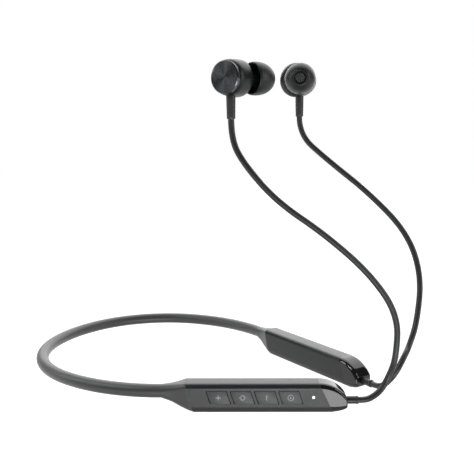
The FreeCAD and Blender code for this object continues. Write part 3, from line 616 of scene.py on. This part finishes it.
def lamp_window():
    bm = turned([(-2.0, 0), (0.0, 0), (0.0, 0.5), (-2.0, 0.5)], steps=32)
    rounded_edges(bm, 0.12)
    face = Matrix.Translation((WINDOW_ALONG, -POD_HALF - 0.03, WINDOW_UP))
    face = face @ Matrix.Rotation(radians(-90), 4, "Z")
    piece = finished(bm, "lamp_lens", lamp_acrylic, pod_place(RIGHT) @ face)
    return held(piece, "right_pod", "lamp_window")


def cable_relief(name, side):
    """The sleeve where the cable leaves the nose, with its collar and lead-in."""
    bm = turned([(56.8, 0), (56.8, 1.4), (62.1, 1.4), (62.2, 1.5), (62.9, 1.5), (62.9, 0)])
    rounded_edges(bm, 0.1, sharper=40)
    lifted = Matrix.Translation((0, 0, RELIEF_HEIGHT))
    piece = finished(bm, name + "_relief_sleeve", cable_tpe, pod_place(side) @ lifted)
    return held(piece, name + "_pod", name + "_cable_relief")


lamp_window()
for name, side in SIDES.items():
    cable_relief(name, side)


# Earbuds


def ear_cap(name):
    """The lathe-turned end plate: a flat face in a thin bright rim with a chamfer."""
    bm = turned([
        (-6.1, 0),
        (-8.3, 0),
        (-8.3, 5.2),
        (-8.4, 5.3),
        (-8.4, 5.5),
        (-8.05, 5.85),
        (-7.05, 5.9),
        (-7.05, 5.1),
        (-6.1, 5.1),
    ], steps=96)
    turning_map(bm)
    piece = finished(bm, name + "_end_plate", cap_aluminium, bud_place(name))
    return held(piece, name + "_pod", name + "_cap")


def ear_barrel(name):
    """The flared shell between the end plate and the widest ring."""
    bm = turned([
        (-6.9, 5.2),
        (-6.9, 5.9),
        (-6.6, 6.2),
        (-5.0, 6.5),
        (-3.0, 6.68),
        (-1.2, 6.78),
        (0.0, 6.8),
        (0.0, 6.0),
    ], steps=96)
    rounded_edges(bm, 0.12, sharper=60)
    piece = finished(bm, name + "_shell", bud_abs, bud_place(name))
    return held(piece, name + "_pod", name + "_barrel")


def ear_front(name, side):
    """The domed front of the shell with its bent nozzle, which ends in a low barb."""
    dome = turned([
        (0.05, 0),
        (0.05, 6.74),
        (0.5, 6.7),
        (1.3, 6.2),
        (2.2, 5.2),
        (2.9, 4.0),
        (3.3, 2.8),
        (3.4, 0),
    ], steps=96)
    rounded_edges(dome, 0.1, sharper=60)
    spout = turned([
        (-0.8, 1.85),
        (-0.8, 2.25),
        (7.9, 2.25),
        (8.3, 2.27),
        (9.3, 2.15),
        (9.3, 1.85),
    ], steps=48)
    bend = Matrix.Translation((NOZZLE_BASE, side * NOZZLE_OFFSET, 0))
    bend = bend @ Matrix.Rotation(side * radians(NOZZLE_BEND), 4, "Z")
    spout.transform(bend)
    extra = bpy.data.meshes.new("spout")
    spout.to_mesh(extra)
    spout.free()
    dome.from_mesh(extra)
    bpy.data.meshes.remove(extra)
    piece = finished(dome, name + "_front", bud_abs, bud_place(name))
    return held(piece, name + "_pod", name + "_front_housing")


def ear_gauze(name, side):
    bm = turned([(8.7, 0), (8.75, 0.9), (8.9, 1.82), (9.0, 1.82), (9.05, 0)], steps=48)
    flat_map(bm)
    piece = finished(bm, name + "_gauze", gauze_steel, nozzle_place(name, side))
    return held(piece, name + "_pod", name + "_nozzle_mesh")


def ear_stem(name):
    """The moulded stem that guards the cable, with a soft step at its lower end."""
    bm = turned([
        (0.0, 0),
        (0.0, 1.7),
        (3.0, 1.66),
        (8.0, 1.56),
        (8.7, 1.55),
        (8.9, 1.45),
        (8.9, 0),
    ], steps=64)
    rounded_edges(bm, 0.08, sharper=50)
    down = Matrix.Translation((-STEM_BACK, 0, -STEM_START)) @ Matrix.Rotation(radians(90), 4, "Y")
    piece = finished(bm, name + "_cable_stem", cable_tpe, bud_place(name) @ down)
    return held(piece, name + "_pod", name + "_stem")


def ear_tip(name, side):
    """The silicone tip: a thin dome folded back over its core, with a rolled rim."""
    bm = turned([
        (5.8, 2.3),
        (9.9, 2.3),
        (10.35, 2.42),
        (10.48, 2.75),
        (10.2, 3.35),
        (9.3, 4.35),
        (7.9, 5.25),
        (6.2, 5.85),
        (4.4, 6.1),
        (2.8, 6.1),
        (1.8, 5.95),
        (1.52, 5.75),
        (1.6, 5.5),
        (2.0, 5.4),
        (3.0, 5.45),
        (5.0, 5.45),
        (7.2, 4.8),
        (8.6, 3.8),
        (8.9, 3.1),
        (8.5, 2.98),
        (5.8, 2.95),
    ], steps=64)
    piece = finished(bm, name + "_silicone_tip", tip_silicone, nozzle_place(name, side))
    rounding = piece.modifiers.new("rounding", "SUBSURF")
    rounding.levels = 2
    rounding.render_levels = 2
    return held(piece, name + "_tip", name + "_ear_tip")


def ear_cable(name, side):
    """The free cable, on one smooth line from the nose's relief to the stem."""
    curve = bpy.data.curves.new(name + "_cable_run", "CURVE")
    curve.dimensions = "3D"
    line = curve.splines.new("NURBS")
    line.points.add(len(CABLE_ROUTES[name]) - 1)
    for point, spot in zip(line.points, CABLE_ROUTES[name]):
        point.co = (*(Vector(spot) * MM), 1.0)
    line.order_u = 3
    line.use_endpoint_u = True
    line.resolution_u = 16
    curve.bevel_depth = CABLE_DIAMETER / 2 * MM
    curve.bevel_resolution = 7
    curve.use_fill_caps = True
    curve.materials.append(cable_tpe)
    piece = bpy.data.objects.new(name + "_cable_run", curve)
    bpy.context.scene.collection.objects.link(piece)
    held(piece, name + "_pod", name + "_cable")


for name, side in SIDES.items():
    ear_cap(name)
    ear_barrel(name)
    ear_front(name, side)
    ear_gauze(name, side)
    ear_stem(name)
    ear_tip(name, side)
    ear_cable(name, side)


# The frame's own parts: finish and soft shading


slot_of = {entry["node"]: entry["material_slot"] for entry in frame["record"]["subparts"]}
for name, part in frame["nodes"].items():
    finish = lid_lacquer if name.endswith("_lid") else FINISHES[slot_of[name]]
    part.data.materials.clear()
    part.data.materials.append(finish)
    for face in part.data.polygons:
        face.use_smooth = True
    join = part.modifiers.new("join", "WELD")
    join.merge_threshold = 0.000002
    crease = part.modifiers.new("crease", "EDGE_SPLIT")
    crease.split_angle = radians(28)


# Floor, light and camera


# Metres: how high the floor lies, and the point on it that its painted glow starts round, leaving painted
# shade beneath the object.
FLOOR_LEVEL = -0.30
GLOW_CENTRE = (0.15, -0.10, FLOOR_LEVEL)


def floor():
    bm = bmesh.new()
    bmesh.ops.create_grid(bm, x_segments=1, y_segments=1, size=6.0)
    bmesh.ops.translate(bm, vec=(0, 0, FLOOR_LEVEL), verts=bm.verts)
    mesh = bpy.data.meshes.new("studio_floor")
    bm.to_mesh(mesh)
    bm.free()
    ground = bpy.data.objects.new("studio_floor", mesh)
    bpy.context.scene.collection.objects.link(ground)
    mesh.materials.append(painted_glow_and_shade_card())


def painted_glow_and_shade_card():
    """Matte white card with painted light: it glows more with distance, and the dim patch left under the
    object is painted shade.
    """
    card = grained("white_card_painted_glow_and_shade", "#B9B9B9", "#BCBCBC", 0.9, 1.0, 0.8, 0.01)
    tree = card.node_tree
    surface = tree.nodes["Principled BSDF"]
    where = add(tree, "ShaderNodeTexCoord").outputs["Object"]
    off = add(tree, "ShaderNodeVectorMath", {0: where, 1: GLOW_CENTRE}, operation="DISTANCE")
    # Painted shade under the object: no glow within 0.25 m of the centre, rising to full painted glow beyond
    # 0.55 m.
    rise = add(tree, "ShaderNodeMapRange", {"Value": off.outputs["Value"], "From Min": 0.25, "From Max": 0.55,
                                            "To Min": 0.0, "To Max": 0.7}, interpolation_type="SMOOTHSTEP")
    surface.inputs["Emission Color"].default_value = (1, 1, 1, 1)
    tree.links.new(rise.outputs["Result"], surface.inputs["Emission Strength"])
    return card


def lamp(name, spot, target, size, power):
    light = bpy.data.lights.new(name, "AREA")
    light.shape = "RECTANGLE"
    light.size = size[0]
    light.size_y = size[1]
    light.energy = power
    holder = bpy.data.objects.new(name, light)
    holder.location = spot
    aim = Vector(target) - Vector(spot)
    holder.rotation_euler = aim.to_track_quat("-Z", "Y").to_euler()
    bpy.context.scene.collection.objects.link(holder)
    holder.visible_camera = False


floor()
# A broad sun from behind gives the long top highlights, and a low panel in front the even
# grey of the side faces. Straight above stays dark, so that edges turn black between them.
sun = bpy.data.lights.new("back_sky", "SUN")
sun.energy = 3.8
sun.angle = radians(90)
sky = bpy.data.objects.new("back_sky", sun)
sky.rotation_euler = (Vector((0.30, -0.88, -0.78))).to_track_quat("-Z", "Y").to_euler()
bpy.context.scene.collection.objects.link(sky)
lamp("low_front_panel", (0.36, -0.36, -0.16), (0.12, -0.02, -0.002), (0.30, 0.18), 0.95)
lamp("left_strip", (-0.35, -0.25, 0.25), (0.10, 0, 0.09), (0.12, 0.30), 0.6)
# Two small lamps brighten the fans on the spun end plate.
lamp("upper_spot", (-0.163, -0.346, 0.387), (0.099, -0.02, 0.114), (0.08, 0.08), 0.45)
lamp("slanting_spot", (-0.030, -0.353, 0.464), (0.099, -0.02, 0.114), (0.08, 0.08), 0.45)
lamp("right_strip", (0.50, 0.05, 0.20), (0.10, 0, 0.10), (0.10, 0.30), 0.5)

world = bpy.data.worlds.new("studio")
world.use_nodes = True
room = world.node_tree
room.nodes.clear()
seen = add(room, "ShaderNodeLightPath").outputs["Is Camera Ray"]
backdrop = add(room, "ShaderNodeBackground", {"Color": (1, 1, 1, 1), "Strength": 1.0}).outputs["Background"]
dim = add(room, "ShaderNodeBackground", {"Color": (1, 1, 1, 1), "Strength": 0.12}).outputs["Background"]
mixed = add(room, "ShaderNodeMixShader", {0: seen, 1: dim, 2: backdrop}).outputs["Shader"]
add(room, "ShaderNodeOutputWorld", {"Surface": mixed})
bpy.context.scene.world = world
bpy.context.scene.view_settings.view_transform = "Standard"

lens = bpy.data.cameras.new("studio_camera")
lens.sensor_width = 36.0
lens.lens = 49.37
lens.clip_start = 0.005
camera = bpy.data.objects.new("studio_camera", lens)
camera.location = (0.2097, -0.2344, 0.0905)
camera.rotation_euler = (radians(90 - 8.16), 0, radians(27.3))
bpy.context.scene.collection.objects.link(camera)
bpy.context.scene.camera = camera
